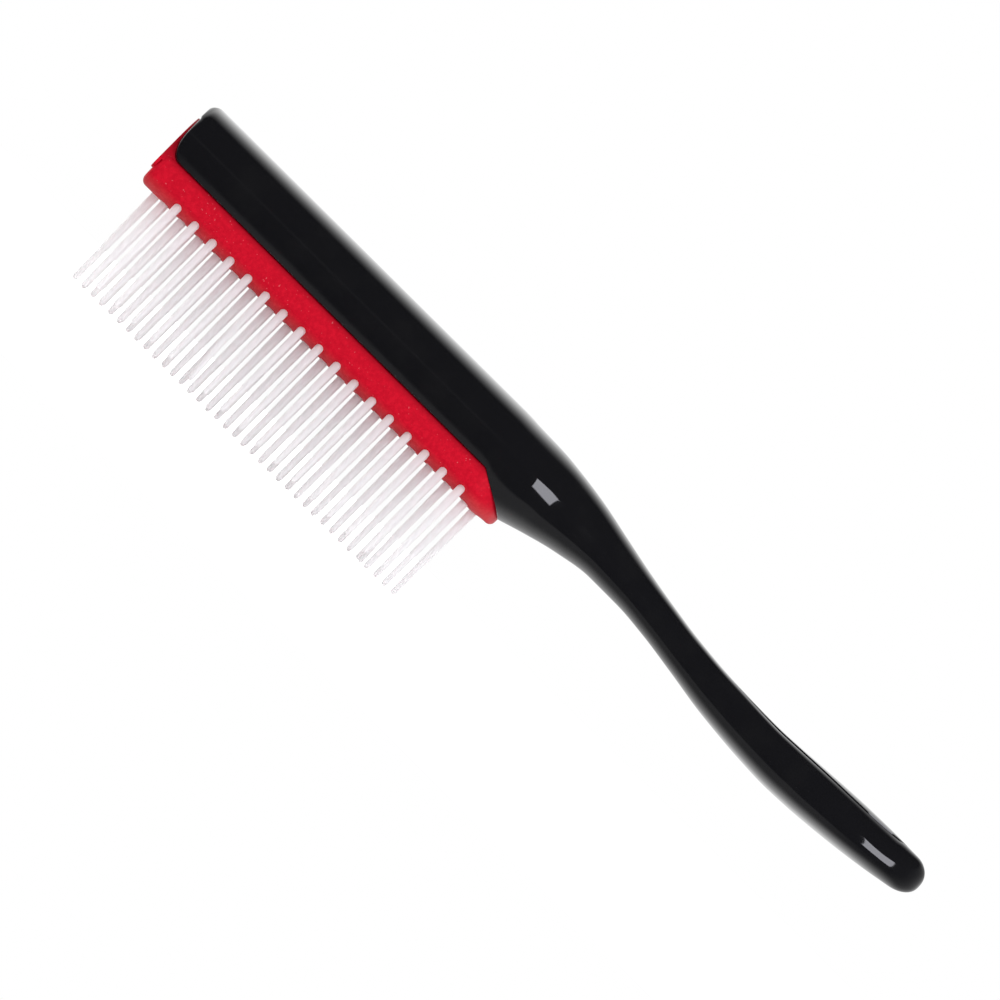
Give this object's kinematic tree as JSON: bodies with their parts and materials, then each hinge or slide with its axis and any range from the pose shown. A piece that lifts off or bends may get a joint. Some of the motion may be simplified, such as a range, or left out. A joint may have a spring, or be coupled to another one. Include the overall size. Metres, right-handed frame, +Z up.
{
  "type": "cushioned styling brush",
  "caption": "Half-round styling brush: gloss black head and handle in one, a red rubber pad that slides into the head, and fanned rows of long white nylon pins for styling hair.",
  "frame": {"origin": "middle of the length and of the width, at the height of the lowest pin tips", "axes": "+X from the tip of the head to the end of the grip, +Z up towards the brush's back, +Y across the rows of pins"},
  "size_m": [0.2158, 0.0388, 0.0461],
  "materials": {
    "handle_plastic": "polished black moulding",
    "pad_rubber": "smooth satin red rubber",
    "pin_nylon": "milky translucent white nylon"
  },
  "bodies": {
    "handle": {"handle": "handle_plastic"},
    "pad": {"cushion_pad": "pad_rubber", "pin_row_1": "pin_nylon", "pin_row_2": "pin_nylon", "pin_row_3": "pin_nylon", "pin_row_4": "pin_nylon", "pin_row_5": "pin_nylon", "pin_row_6": "pin_nylon", "pin_row_7": "pin_nylon"}
  },
  "joints": [
    {"name": "pad_slide", "type": "slide", "parent": "handle", "child": "pad", "axis": [-1, 0, 0], "range_m": [0, 0.088]}
  ]
}
